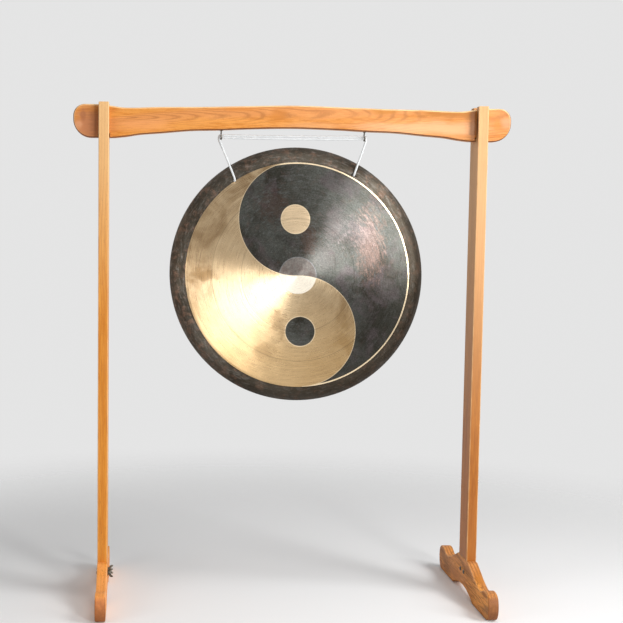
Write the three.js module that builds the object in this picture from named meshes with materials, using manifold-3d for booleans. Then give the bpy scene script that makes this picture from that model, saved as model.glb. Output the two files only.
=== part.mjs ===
// Gong stand: two fork-topped posts on scroll feet, a lift-out crossbar and a gong hung from it by one cord.
// Millimetres, +Z up, +X to the right of a player who faces the gong, -Y towards the player.
// The origin is on the floor under the middle of the crossbar.
import * as THREE from 'three';
import { mergeVertices } from 'three/addons/utils/BufferGeometryUtils.js';
import Module from 'manifold-3d';

const wasm = await Module();
wasm.setup();

// Fits and cutting
const seatGap = 0.3;
const cutOverrun = 5;

// Flat sides that stand for a round
const wireSides = 8;
const pilotSides = 12;
const ballSides = 12;
const knotSides = 14;
const gongHoleSides = 14;
const rodSides = 16;
const collarSides = 16;
const hubSides = 20;
const washerSides = 24;
const gongSides = 72;

// Posts
const postSpacing = 1180;
const postThickness = 32;
const postDepth = 90;
const postTop = 1558;
const postArris = 3;
const postTopBevel = 2;
const tenonThickness = 12;
const tenonDepth = 70;
const tenonCover = 13.8;

// Crossbar: a plank with a round lobe at each end, set on edge in the forks
const barThickness = 36;
const barOverhang = 95;
const barBelowPostTop = 5;
const barEndHeight = 103;
const barEndTopRadius = 36;
const barEndBottomRadius = 56;
const barArris = 3;
const barNotchDepth = 10;
const barTopShares = [
  [0.895, -0.002],
  [0.835, -0.04],
  [0.78, -0.09],
  [0.735, -0.098],
  [0.62, -0.068],
  [0.42, -0.048],
  [0.24, -0.014],
  [0, 0.024],
];
const barBottomShares = [
  [0, 0.342],
  [0.2, 0.31],
  [0.34, 0.265],
  [0.47, 0.238],
  [0.6, 0.16],
  [0.7, 0.105],
  [0.755, 0.045],
  [0.81, 0.002],
];

// Feet: a plank on edge with a scroll at each end and an arch between two pads
const footThickness = 32;
const footHalfLength = 300;
const footShoulderHeight = 115.5;
const footTopHalf = 61;
const footPadInset = 30;
const footArris = 3;
const archHalfSpan = 120;
const archHeight = 26;
const notchInset = 100;
const notchHeight = 68;
const scrollTopInset = 41;
const scrollTopHeight = 83;
const scrollBulgeHeight = 42;
const archShares = [[0.45, 0], [0.8, 0.54]];
const scrollUnderShares = [[0.6, 0], [1, 0.4]];
const scrollOuterShares = [[0, 0.72], [0.38, 1]];
const scrollInnerShares = [[0.5, 0], [0.55, 0.98]];
const footSlopeShares = [[0.24, -0.08], [0.78, 0.77]];

// Fasteners that clamp each foot on its tenon
const boltDiameter = 6;
const boltSpacing = 39;
const boltDrop = 41.5;
const boltHeadDiameter = 14;
const boltHeadHeight = 3.6;
const boltHeadShares = [[0, 0], [1, 0], [0.92, 0.45], [0.6, 0.85], [0, 1]];
const boltPastNut = 3;
const boltHoleClearance = 0.4;
const nutRunClearance = 0.1;
const washerDiameter = 18;
const washerThickness = 1.6;
const nutHubBaseRadius = 6.2;
const nutHubTopRadius = 5;
const nutHubHeight = 8;
const nutWingSpan = 28;
const nutWingHeight = 15;
const nutWingThickness = 2.6;
const nutWingRootShare = 0.12;
const nutWingCrestShare = 0.9;
const nutWingInnerShare = 0.7;
const nutWingShares = [[0.25, 0.75], [0.45, 1], [0.8, 1], [1.08, 1], [1.06, 0.66], [0.86, 0.58]];
const nutTurns = [82, 68, 100, 75];

// Screw hooks under the crossbar
const hookSpacing = 450;
const hookWire = 4.4;
const hookBowlRadius = 9;
const hookDrop = 28.05;
const hookScrewLength = 26;
const hookTipBall = 3;
const hookCollarRadius = 5.5;
const hookCollarHeight = 2.4;
const hookNeckShares = [0.25, 0.33];

// Gong: a turned dish whose rim is drawn back
const gongRadius = 403;
const gongCentreX = 21;
const gongHang = 20.5;
const gongFaceY = -5.6;
const gongWall = 2.6;
const gongTilt = 2.8;
const gongBandWidth = 48.5;
const gongGrooveWidth = 9;
const gongGrooveDepth = 1.2;
const gongDome = 6;
const gongRimDepth = 52;
const gongShoulderDepth = 20;
const gongShoulderInset = 9;
const gongRimTuck = 3;
const gongHoleRadius = 4.3;
const gongHoleOutset = 4.5;
const gongHoleAngle = 31.5;
const gongDomeShares = [[0, 1], [0.35, 0.85], [0.7, 0.45], [1, 0]];
const gongGrooveWallShare = 0.2;
const gongBandShare = 0.3;

// Cord: one length from the knot behind the right hole, round both hooks twice and back to the knot.
// Its heights are counted from the lowest point of the hooks' bowls.
const cordDiameter = 6.5;
const knotRadius = 7.5;
const knotDepth = 11.6;
const cordRoute = [
  [193.4, -1.8, -108.6],
  [193.4, -5.2, -108.5],
  [193.7, -8.8, -106.9],
  [194.6, -10.4, -103],
  [198, -9.6, -93.5],
  [210, -6.2, -59.5],
  [222, -2.5, -25.7],
  [227.6, -0.8, -9.9],
  [230.42, 0, -1.93],
  [230.55, 0, 1.49],
  [228.7, 0, 4.4],
  [225, 0, 5.75],
  [212, 0, 5.5],
  [160, 0, 4.4],
  [80, 0, 3.5],
  [0, 0, 3.2],
  [-80, 0, 3.5],
  [-160, 0, 4.4],
  [-212, 0, 5.5],
  [-225, 0, 5.75],
  [-228.7, 0, 4.4],
  [-230.55, 0, 1.49],
  [-230.32, 0, -2.17],
  [-226.9, -0.8, -10.5],
  [-219.8, -2.5, -28],
  [-203.9, -6.3, -67.1],
  [-187, -9.6, -108.5],
  [-182.3, -10.4, -121.1],
  [-181.5, -8.8, -125.1],
  [-181.3, -5.2, -126.8],
  [-181.3, -1.8, -126.9],
  [-181.5, 2, -126.5],
  [-182.5, 8, -124.1],
  [-188.7, 25, -110.5],
  [-194.9, 42.5, -96.8],
  [-196.2, 49.6, -93.9],
  [-198.2, 51, -89.6],
  [-200.3, 48.5, -85],
  [-218.5, 24.3, -44.9],
  [-232.4, 5, -14.1],
  [-236.43, 0.6, -5.18],
  [-237.55, 0, 0],
  [-235.87, 0, 6.28],
  [-231.28, 0, 10.87],
  [-225, 0, 12.55],
  [-212, 0, 12.5],
  [-160, 0, 11.9],
  [-80, 0, 11.3],
  [0, 0, 11.1],
  [80, 0, 11.3],
  [160, 0, 11.9],
  [212, 0, 12.5],
  [225, 0, 12.55],
  [231.28, 0, 10.87],
  [235.87, 0, 6.28],
  [237.55, 0, 0],
  [236.58, 0.6, -4.84],
  [233.2, 5, -13.3],
  [224.3, 23.5, -34.8],
  [211, 48.5, -66.6],
  [209.1, 51, -71.1],
  [207.3, 49.6, -75.4],
  [206.1, 42.5, -78.4],
  [199.6, 24, -93.8],
  [195.4, 11.8, -103.8],
];

const materials = {
  wood: { color: 0xd9913f, roughness: 0.45, metalness: 0 },
  foot: { color: 0xb9763a, roughness: 0.5, metalness: 0 },
  steel: { color: 0x4a4640, roughness: 0.4, metalness: 1 },
  zinc: { color: 0x8a8272, roughness: 0.35, metalness: 1 },
  bronze: { color: 0x6b5a48, roughness: 0.38, metalness: 1 },
  cord: { color: 0xf1efe9, roughness: 0.8, metalness: 0 },
};

// Solids: each geometry becomes a manifold solid, so cuts and joins stay closed
function toSolid(geometry) {
  const bare = geometry.clone();
  bare.deleteAttribute('normal');
  bare.deleteAttribute('uv');
  const mergeTolerance = 1e-4;
  const merged = mergeVertices(bare, mergeTolerance);
  return new wasm.Manifold(new wasm.Mesh({
    numProp: 3,
    vertProperties: new Float32Array(merged.attributes.position.array),
    triVerts: new Uint32Array(merged.index.array),
  }));
}

function toGeometry(solid) {
  const mesh = solid.getMesh();
  const geometry = new THREE.BufferGeometry();
  geometry.setAttribute('position', new THREE.BufferAttribute(new Float32Array(mesh.vertProperties), 3));
  geometry.setIndex(new THREE.BufferAttribute(new Uint32Array(mesh.triVerts), 1));
  geometry.computeVertexNormals();
  return geometry;
}

const stand = new THREE.Group();
stand.name = 'gong_stand';

function addPiece(name, geometry, finish, parent = stand) {
  const mesh = new THREE.Mesh(geometry, new THREE.MeshStandardMaterial(materials[finish]));
  mesh.name = name;
  parent.add(mesh);
  return mesh;
}

function box(xSize, ySize, zSize, x, y, z) {
  return new THREE.BoxGeometry(xSize, ySize, zSize).translate(x, y, z);
}

// A cylinder whose axis lies along X, centred on its own middle
function rodAlongX(radius, length) {
  return new THREE.CylinderGeometry(radius, radius, length, rodSides).rotateZ(-Math.PI / 2);
}

// A flat outline drawn in the plane of X and Z, extruded along Y about y = 0, with rounded arrises
function plankAlongY(shape, thickness, arris) {
  const geometry = new THREE.ExtrudeGeometry(shape, {
    depth: thickness - 2 * arris,
    bevelEnabled: true,
    bevelThickness: arris,
    bevelSize: arris,
    bevelOffset: -arris,
    bevelSegments: 2,
    curveSegments: 10,
  });
  return geometry.translate(0, 0, arris - thickness / 2).rotateX(Math.PI / 2);
}

function roundedRectangle(width, height, radius) {
  const shape = new THREE.Shape();
  const x = width / 2;
  const y = height / 2;
  shape.moveTo(-x + radius, -y);
  shape.lineTo(x - radius, -y);
  shape.absarc(x - radius, -y + radius, radius, -Math.PI / 2, 0, false);
  shape.lineTo(x, y - radius);
  shape.absarc(x - radius, y - radius, radius, 0, Math.PI / 2, false);
  shape.lineTo(-x + radius, y);
  shape.absarc(-x + radius, y - radius, radius, Math.PI / 2, Math.PI, false);
  shape.lineTo(-x, -y + radius);
  shape.absarc(-x + radius, -y + radius, radius, Math.PI, Math.PI * 1.5, false);
  return shape;
}

// Places that the pieces share
const postX = postSpacing / 2;
const barHalfLength = postX + barOverhang;
const barEndTop = postTop - barBelowPostTop;
const barEndBottom = barEndTop - barEndHeight;
const slotWidth = barThickness + 2 * seatGap;
const slotFloor = barEndBottom + barNotchDepth - seatGap;
const shoulder = footShoulderHeight + seatGap;
const tenonBottom = archHeight + tenonCover;
const tenonLength = shoulder - tenonBottom;
const boltHeight = footShoulderHeight - boltDrop;
const boltHoleRadius = boltDiameter / 2 + boltHoleClearance;
const boltPlaces = [-boltSpacing / 2, boltSpacing / 2];
const hookX = hookSpacing / 2;
const gongDiscRadius = gongRadius - gongBandWidth;
const gongHolePlace = gongDiscRadius + gongHoleOutset;
const gongHoleX = gongHolePlace * Math.sin(THREE.MathUtils.degToRad(gongHoleAngle));
const gongHoleZ = gongHolePlace * Math.cos(THREE.MathUtils.degToRad(gongHoleAngle));

// Post: fork above for the crossbar, tenon below for the foot
function makePost() {
  const blankBottom = shoulder - cutOverrun;
  const blank = new THREE.ExtrudeGeometry(roundedRectangle(postThickness, postDepth, postArris), {
    depth: postTop - blankBottom - 2 * postTopBevel,
    bevelEnabled: true,
    bevelThickness: postTopBevel,
    bevelSize: postTopBevel,
    bevelOffset: -postTopBevel,
    bevelSegments: 1,
    curveSegments: 3,
  }).translate(0, 0, blankBottom + postTopBevel);
  const slotHeight = postTop - slotFloor + cutOverrun;
  const slot = box(postThickness + 2 * cutOverrun, slotWidth, slotHeight, 0, 0, slotFloor + slotHeight / 2);
  const foot = box(postThickness + 2 * cutOverrun, postDepth + 2 * cutOverrun, 2 * cutOverrun,
    0, 0, shoulder - cutOverrun);
  const tenon = box(tenonThickness, tenonDepth, tenonLength + cutOverrun,
    0, 0, tenonBottom + (tenonLength + cutOverrun) / 2);
  let post = toSolid(blank).subtract(toSolid(slot)).subtract(toSolid(foot)).add(toSolid(tenon));
  for (const y of boltPlaces) {
    const hole = rodAlongX(boltHoleRadius, postThickness).translate(0, y, boltHeight);
    post = post.subtract(toSolid(hole));
  }
  return toGeometry(post);
}

// Foot profile in the plane of Y and Z, drawn as the right half and its mirror image
function footProfile() {
  const half = new THREE.Path();
  const bendTo = (x, y, shares) => {
    const from = half.currentPoint.clone();
    const controls = shares.flatMap(([along, up]) => [
      from.x + (x - from.x) * along,
      from.y + (y - from.y) * up,
    ]);
    half.bezierCurveTo(...controls, x, y);
  };
  half.moveTo(0, archHeight);
  bendTo(archHalfSpan, 0, archShares);
  half.lineTo(footHalfLength - footPadInset, 0);
  bendTo(footHalfLength, scrollBulgeHeight, scrollUnderShares);
  bendTo(footHalfLength - scrollTopInset, scrollTopHeight, scrollOuterShares);
  bendTo(footHalfLength - notchInset, notchHeight, scrollInnerShares);
  bendTo(footTopHalf, footShoulderHeight, footSlopeShares);
  half.lineTo(0, footShoulderHeight);
  const divisions = 9;
  const points = half.getPoints(divisions);
  const mirrored = points.slice(1, -1).reverse().map((point) => new THREE.Vector2(-point.x, point.y));
  return new THREE.Shape([...points, ...mirrored]);
}

// Foot: mortise from above for the tenon, two bolt holes across it
function makeFoot() {
  const blank = plankAlongY(footProfile(), footThickness, footArris).rotateZ(-Math.PI / 2);
  const mortiseDepth = footShoulderHeight - tenonBottom + seatGap;
  const mortise = box(tenonThickness + 2 * seatGap, tenonDepth + 2 * seatGap, mortiseDepth + cutOverrun,
    0, 0, tenonBottom - seatGap + (mortiseDepth + cutOverrun) / 2);
  let foot = toSolid(blank).subtract(toSolid(mortise));
  for (const y of boltPlaces) {
    const hole = rodAlongX(boltHoleRadius, footThickness + 2 * cutOverrun).translate(0, y, boltHeight);
    foot = foot.subtract(toSolid(hole));
  }
  return toGeometry(foot);
}

// Crossbar outline in the plane of X and Z
function barOutline() {
  const place = ([xShare, zShare], base) =>
    new THREE.Vector2(xShare * barHalfLength, base + zShare * barEndHeight);
  const mirror = (point) => new THREE.Vector2(-point.x, point.y);
  const top = barTopShares.map((share) => place(share, barEndTop));
  const bottom = barBottomShares.map((share) => place(share, barEndBottom));
  const wavySteps = 26;
  const topWave = new THREE.SplineCurve([...top, ...top.slice(0, -1).reverse().map(mirror)]);
  const bottomWave = new THREE.SplineCurve([...bottom.slice(1).reverse().map(mirror), ...bottom]);
  const cornerSteps = 8;
  const corner = (side, radius, z, start) =>
    new THREE.EllipseCurve(side * (barHalfLength - radius), z, radius, radius, start, start + Math.PI / 2)
      .getPoints(cornerSteps);
  const topZ = barEndTop - barEndTopRadius;
  const bottomZ = barEndBottom + barEndBottomRadius;
  return [
    ...corner(1, barEndBottomRadius, bottomZ, -Math.PI / 2),
    ...corner(1, barEndTopRadius, topZ, 0),
    ...topWave.getPoints(wavySteps),
    ...corner(-1, barEndTopRadius, topZ, Math.PI / 2),
    ...corner(-1, barEndBottomRadius, bottomZ, Math.PI),
    ...bottomWave.getPoints(wavySteps),
  ];
}

// Lowest height of the crossbar's underside over the width of a hook's collar
function hookSeatAt(x) {
  const outline = barOutline();
  const bottomAt = (place) => {
    let height = barEndTop;
    outline.forEach((a, index) => {
      const b = outline[(index + 1) % outline.length];
      if (a.x > place === b.x > place) return;
      height = Math.min(height, a.y + ((b.y - a.y) * (place - a.x)) / (b.x - a.x));
    });
    return height;
  };
  return Math.min(bottomAt(x - hookCollarRadius), bottomAt(x + hookCollarRadius));
}

const hookSeat = hookSeatAt(hookX);
const hookBowlBottom = hookSeat - hookDrop;

// Crossbar: notches that drop over the fork floors, pilot holes for the hooks
function makeBar() {
  let bar = toSolid(plankAlongY(new THREE.Shape(barOutline()), barThickness, barArris));
  const notchWidth = postThickness + 2 * seatGap;
  const notchHeightCut = barNotchDepth + cutOverrun;
  for (const side of [-1, 1]) {
    const notch = box(notchWidth, barThickness + 2 * cutOverrun, notchHeightCut,
      side * postX, 0, barEndBottom - cutOverrun + notchHeightCut / 2);
    bar = bar.subtract(toSolid(notch));
    const pilotLength = hookScrewLength + seatGap + cutOverrun;
    const pilotRadius = hookWire / 2 + seatGap;
    const pilot = new THREE.CylinderGeometry(pilotRadius, pilotRadius, pilotLength, pilotSides)
      .rotateX(Math.PI / 2)
      .translate(side * hookX, 0, hookSeat - cutOverrun + pilotLength / 2);
    bar = bar.subtract(toSolid(pilot));
  }
  return toGeometry(bar);
}

// A route that is stepped by its own points, so that tight bends get short steps
class Route extends THREE.CatmullRomCurve3 {
  getPointAt(u, target) {
    return this.getPoint(u, target);
  }

  getTangentAt(u, target) {
    return this.getTangent(u, target);
  }
}

function tubeAlong(route, radius, steps, sides) {
  const section = new THREE.Shape();
  for (let i = 0; i < sides; i += 1) {
    const angle = (i / sides) * Math.PI * 2;
    const x = radius * Math.cos(angle);
    const y = radius * Math.sin(angle);
    if (i === 0) section.moveTo(x, y);
    else section.lineTo(x, y);
  }
  section.closePath();
  return new THREE.ExtrudeGeometry(section, { steps, bevelEnabled: false, extrudePath: route });
}

// Hook: a screwed shank, a collar against the wood and an open bowl that faces the player
function makeHook() {
  const screwTop = hookSeat + hookScrewLength;
  const collarTop = hookSeat - seatGap;
  const collarBottom = collarTop - hookCollarHeight;
  const bowlCentre = hookBowlBottom + hookBowlRadius;
  const [neckBack, neckDown] = hookNeckShares;
  const points = [
    new THREE.Vector3(0, 0, screwTop),
    new THREE.Vector3(0, 0, (screwTop + hookSeat) / 2),
    new THREE.Vector3(0, 0, hookSeat),
    new THREE.Vector3(0, 0, collarBottom),
    new THREE.Vector3(0, hookBowlRadius * neckBack, collarBottom + (bowlCentre - collarBottom) * neckDown),
  ];
  const bowlSteps = 9;
  const bowlStart = 38;
  const bowlSweep = 233;
  for (let i = 0; i <= bowlSteps; i += 1) {
    const angle = THREE.MathUtils.degToRad(bowlStart - (i / bowlSteps) * bowlSweep);
    points.push(new THREE.Vector3(
      0,
      hookBowlRadius * Math.cos(angle),
      bowlCentre + hookBowlRadius * Math.sin(angle),
    ));
  }
  const wire = tubeAlong(new Route(points), hookWire / 2, 2 * (points.length - 1), wireSides);
  const tip = points[points.length - 1];
  const ball = new THREE.SphereGeometry(hookTipBall, ballSides, ballSides / 2).translate(0, tip.y, tip.z);
  const collar = new THREE.CylinderGeometry(
    hookCollarRadius, hookWire / 2 + seatGap, hookCollarHeight, collarSides,
  )
    .rotateX(Math.PI / 2)
    .translate(0, 0, collarTop - hookCollarHeight / 2);
  return toGeometry(toSolid(wire).add(toSolid(ball)).add(toSolid(collar)));
}

// Gong wall: the outer line from the middle of the face to the rim, and the same line one wall behind it
function gongLine(wall) {
  const shoulderRadius = gongRadius - gongShoulderInset;
  const grooveInner = gongDiscRadius + gongGrooveWidth * gongGrooveWallShare;
  const grooveOuter = gongDiscRadius + gongGrooveWidth;
  const line = [
    ...gongDomeShares.map(([out, rise]) => [gongDiscRadius * out, -gongDome * rise]),
    [grooveInner, gongGrooveDepth],
    [grooveOuter, gongGrooveDepth],
    [(grooveOuter + shoulderRadius) / 2, gongShoulderDepth * gongBandShare],
    [shoulderRadius, gongShoulderDepth],
    [gongRadius, (gongShoulderDepth + gongRimDepth) / 2],
    [gongRadius - gongRimTuck, gongRimDepth],
  ];
  if (wall === 0) return line.map(([r, depth]) => new THREE.Vector2(r, depth));
  return line.map(([r, depth], index) => {
    const before = line[Math.max(index - 1, 0)];
    const after = line[Math.min(index + 1, line.length - 1)];
    const along = new THREE.Vector2(after[0] - before[0], after[1] - before[1]).normalize();
    const inner = new THREE.Vector2(r - along.y * wall, depth + along.x * wall);
    if (index === 0) inner.x = 0;
    return inner;
  });
}

function makeGong() {
  const outline = [...gongLine(0), ...gongLine(gongWall).reverse()];
  let gong = toSolid(new THREE.LatheGeometry(outline, gongSides));
  for (const side of [-1, 1]) {
    const hole = new THREE.CylinderGeometry(gongHoleRadius, gongHoleRadius, gongRimDepth, gongHoleSides)
      .translate(side * gongHoleX, 0, gongHoleZ);
    gong = gong.subtract(toSolid(hole));
  }
  return toGeometry(gong);
}

// Bolt: domed head on the -X side of the foot, plain shank in place of the thread
function makeBolt() {
  const nutFace = washerThickness + 2 * seatGap;
  const shankLength = footThickness + seatGap + nutFace + nutHubHeight + boltPastNut;
  const shank = rodAlongX(boltDiameter / 2, shankLength)
    .translate(shankLength / 2 - footThickness / 2 - seatGap, 0, 0);
  const headLine = boltHeadShares.map(([out, up]) =>
    new THREE.Vector2(boltHeadDiameter / 2 * out, boltHeadHeight * up));
  const head = new THREE.LatheGeometry(headLine, hubSides)
    .rotateZ(Math.PI / 2)
    .translate(-footThickness / 2 - seatGap, 0, 0);
  return toGeometry(toSolid(shank).add(toSolid(head)));
}

function makeWasher() {
  const inner = boltDiameter / 2 + seatGap;
  const outer = washerDiameter / 2;
  const half = washerThickness / 2;
  const ring = [
    new THREE.Vector2(inner, -half),
    new THREE.Vector2(outer, -half),
    new THREE.Vector2(outer, half),
    new THREE.Vector2(inner, half),
    new THREE.Vector2(inner, -half),
  ];
  return new THREE.LatheGeometry(ring, washerSides).rotateZ(-Math.PI / 2);
}

// Wing nut: a tapered hub with two wings that flare away from the washer
function makeWingNut() {
  const hub = new THREE.CylinderGeometry(nutHubTopRadius, nutHubBaseRadius, nutHubHeight, hubSides)
    .rotateZ(-Math.PI / 2)
    .translate(nutHubHeight / 2, 0, 0);
  const reach = nutWingSpan / 2;
  const inner = nutHubTopRadius * nutWingInnerShare;
  const [rise, flare, side, tip, fold, neck] = nutWingShares.map(([up, out]) =>
    new THREE.Vector2(nutWingHeight * up, reach * out));
  const wing = new THREE.Shape();
  wing.moveTo(nutHubHeight * nutWingRootShare, inner);
  wing.lineTo(nutHubHeight * nutWingRootShare, nutHubBaseRadius);
  wing.bezierCurveTo(rise.x, rise.y, flare.x, flare.y, side.x, side.y);
  wing.bezierCurveTo(tip.x, tip.y, fold.x, fold.y, neck.x, neck.y);
  wing.lineTo(nutHubHeight * nutWingCrestShare, inner);
  wing.closePath();
  const blade = new THREE.ExtrudeGeometry(wing, {
    depth: nutWingThickness,
    bevelEnabled: false,
    curveSegments: 5,
  }).translate(0, 0, -nutWingThickness / 2);
  const bore = rodAlongX(boltDiameter / 2 + nutRunClearance, nutWingHeight + 2 * cutOverrun);
  const twin = blade.clone().rotateX(Math.PI);
  return toGeometry(toSolid(hub).add(toSolid(blade)).add(toSolid(twin)).subtract(toSolid(bore)));
}

// Feet and their posts, with the bolts that clamp them
let turn = 0;
for (const [side, word] of [[-1, 'left'], [1, 'right']]) {
  addPiece(`${word}_post`, makePost(), 'wood').position.x = side * postX;
  addPiece(`${word}_foot`, makeFoot(), 'foot').position.x = side * postX;
  const clamp = new THREE.Group();
  clamp.position.set(side * postX, 0, boltHeight);
  stand.add(clamp);
  for (const [index, end] of [[0, 'front'], [1, 'rear']]) {
    const washerX = footThickness / 2 + seatGap + washerThickness / 2;
    const nutX = footThickness / 2 + 2 * seatGap + washerThickness;
    addPiece(`${word}_foot_bolt_${end}`, makeBolt(), 'steel', clamp).position.y = boltPlaces[index];
    addPiece(`${word}_foot_washer_${end}`, makeWasher(), 'zinc', clamp)
      .position.set(washerX, boltPlaces[index], 0);
    const nut = addPiece(`${word}_wing_nut_${end}`, makeWingNut(), 'zinc', clamp);
    nut.position.set(nutX, boltPlaces[index], 0);
    nut.rotation.x = THREE.MathUtils.degToRad(nutTurns[turn]);
    turn += 1;
  }
}

// Crossbar and its hooks
addPiece('crossbar', makeBar(), 'wood');
for (const [side, word] of [[-1, 'left'], [1, 'right']]) {
  addPiece(`${word}_hook`, makeHook(), 'steel').position.x = side * hookX;
}

// What hangs from the hooks is placed from the lowest point of their bowls
const hung = new THREE.Group();
hung.position.z = hookBowlBottom;
stand.add(hung);
const cordPath = new Route(cordRoute.map(([x, y, z]) => new THREE.Vector3(x, y, z)));
addPiece('hanging_cord', tubeAlong(cordPath, cordDiameter / 2, cordRoute.length - 1, wireSides), 'cord', hung);

// Gong, hung a little askew as the photograph shows, with the knot behind its right hole
const dish = new THREE.Group();
dish.position.set(gongCentreX, gongFaceY, -gongHang - gongRadius);
dish.rotation.y = -THREE.MathUtils.degToRad(gongTilt);
hung.add(dish);
addPiece('gong', makeGong(), 'bronze', dish);
const knot = new THREE.SphereGeometry(knotRadius, knotSides, knotSides / 2);
addPiece('cord_knot', knot, 'cord', dish).position.set(gongHoleX, knotDepth, gongHoleZ);

export default stand;
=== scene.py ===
from math import cos, hypot, pi, radians, sin, sqrt, tau
import bmesh
import bpy
from mathutils import Matrix, Vector, noise


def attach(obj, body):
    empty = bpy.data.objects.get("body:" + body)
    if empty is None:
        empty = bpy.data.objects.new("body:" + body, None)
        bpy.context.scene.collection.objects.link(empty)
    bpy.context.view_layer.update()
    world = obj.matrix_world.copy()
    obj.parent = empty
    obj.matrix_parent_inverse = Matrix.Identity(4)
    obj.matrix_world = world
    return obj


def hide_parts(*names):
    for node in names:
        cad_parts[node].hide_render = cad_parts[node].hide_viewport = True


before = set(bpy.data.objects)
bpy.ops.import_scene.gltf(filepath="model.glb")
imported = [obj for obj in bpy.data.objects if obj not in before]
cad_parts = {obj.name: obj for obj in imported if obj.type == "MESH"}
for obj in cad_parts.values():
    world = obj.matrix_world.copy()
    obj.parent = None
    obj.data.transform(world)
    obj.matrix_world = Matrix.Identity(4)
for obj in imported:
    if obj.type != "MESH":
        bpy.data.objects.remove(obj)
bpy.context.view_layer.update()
scene = bpy.context.scene
print("frame loaded:", len(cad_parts), "nodes")

# Places that several pieces share, in metres
shared = {
    "postX": 0.59,
    "postTop": 1.558,
    "barTop": 1.553,
    "barEndHeight": 0.103,
    "barThickness": 0.036,
    "notchDepth": 0.01,      # of the bar's notches over the fork floors
    "bowlHeight": 1.449509,   # lowest point of the hooks' bowls
    "hookX": 0.225,
    "gap": 0.0003,
}


def turned(axisX, axisY, axisZ):
    return Matrix((axisX, axisY, axisZ)).transposed().to_4x4()


frontward = turned((1, 0, 0), (0, 0, 1), (0, -1, 0))   # local Y goes up and local Z to the front
rightward = turned((0, 1, 0), (0, 0, 1), (1, 0, 0))    # local Y goes up and local Z to the right


def spaced(start, end, count):
    # evenly spaced values, both ends included
    return [start + (end - start) * step / count for step in range(count + 1)]


def mirrored(points):
    return [(-x, y) for x, y in points[::-1]]


def spun(degrees, axis):
    return Matrix.Rotation(radians(degrees), 4, axis)


def newObject(name, data, place=Matrix()):
    made = bpy.data.objects.new(name, data)
    scene.collection.objects.link(made)
    made.matrix_world = place
    return made


# Camera at the photograph's angle; the photograph is an off-centre crop, hence the shift
camera = {
    "place": (-0.48755, -3.85346, 1.20639),
    "turnRight": 2.317,       # degrees, as the next two
    "tiltDown": 4.708,
    "roll": 0.505,
    "focalPixels": 1225.2,
    "centrePixels": (185.45, 318.05),
    "photoPixels": 623, "sensor": 36,
}


def makeCamera(c):
    data = bpy.data.cameras.new("photoCamera")
    data.sensor_width = c["sensor"]
    data.lens = c["sensor"] * c["focalPixels"] / c["photoPixels"]
    middle = c["photoPixels"] / 2
    data.shift_x = (middle - c["centrePixels"][0]) / c["photoPixels"]
    data.shift_y = (c["centrePixels"][1] - middle) / c["photoPixels"]
    aim = spun(-c["turnRight"], "Z") @ spun(90 - c["tiltDown"], "X") @ spun(c["roll"], "Z")
    scene.camera = newObject("photoCamera", data, Matrix.Translation(c["place"]) @ aim)
    print("camera placed")


makeCamera(camera)


# Mesh helpers

def addPiece(name, mesh, materials, body, node, place=Matrix()):
    piece = newObject(name, mesh, place)
    for material in materials:
        mesh.materials.append(material)
    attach(piece, body)
    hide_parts(node)
    return piece


def meshFrom(name, build, *values, smoothAngle=40, **settings):
    # a closed mesh made by one of the builders below, its normals outwards
    shell = bmesh.new()
    build(shell, *values, **settings)
    bmesh.ops.recalc_face_normals(shell, faces=shell.faces)
    if shell.calc_volume(signed=True) < 0:
        bmesh.ops.reverse_faces(shell, faces=shell.faces)
    mesh = bpy.data.meshes.new(name)
    shell.to_mesh(mesh)
    shell.free()
    mesh.shade_smooth()
    mesh.set_sharp_from_angle(angle=radians(smoothAngle))
    return mesh


def weightNormals(piece):
    # the two broad faces keep their own normal up to the edge
    mesh = piece.data
    for face in sorted(mesh.polygons, key=lambda face: face.area)[-2:]:
        for index in face.loop_indices:
            mesh.edges[mesh.loops[index].edge_index].use_edge_sharp = True
    piece.modifiers.new("weightedNormals", "WEIGHTED_NORMAL").keep_sharp = True


def smoothLine(points, steps):
    # centripetal Catmull-Rom line through the points
    known = [Vector(p) for p in points]
    known = [known[0] * 2 - known[1]] + known + [known[-1] * 2 - known[-2]]
    line = []
    for four in zip(known, known[1:], known[2:], known[3:]):
        at = [0]
        for start, end in zip(four, four[1:]):
            at.append(at[-1] + max(sqrt((end - start).length), 1e-6))
        for t in spaced(at[1], at[2], steps)[:-1]:
            row = four
            for spans in (((0, 1), (1, 2), (2, 3)), ((0, 2), (1, 3)), ((1, 2),)):
                row = [
                    start.lerp(end, (t - at[low]) / (at[high] - at[low]))
                    for start, end, (low, high) in zip(row, row[1:], spans)
                ]
            line.append(row[0])
    line.append(known[-2].copy())
    return line


def smoothPairs(pairs, steps):
    return [(p.x, p.y) for p in smoothLine([(a, b, 0) for a, b in pairs], steps)]


def bendLine(start, one, two, end, steps):
    # points of a cubic curve after its start; one and two are its handles
    line = []
    for t in spaced(0, 1, steps)[1:]:
        u = 1 - t
        line.append(start * u ** 3 + one * 3 * u * u * t + two * 3 * u * t * t + end * t ** 3)
    return line


def evenLine(line, spacing):
    # the same line with points a fixed distance apart, and its length
    lengths = [0]
    for start, end in zip(line, line[1:]):
        lengths.append(lengths[-1] + (end - start).length)
    even = []
    at = 0
    for want in spaced(0, lengths[-1], max(2, round(lengths[-1] / spacing))):
        while at < len(lengths) - 2 and lengths[at + 1] < want:
            at += 1
        span = lengths[at + 1] - lengths[at]
        even.append(line[at].lerp(line[at + 1], (want - lengths[at]) / span if span else 0))
    return even, lengths[-1]


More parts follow.
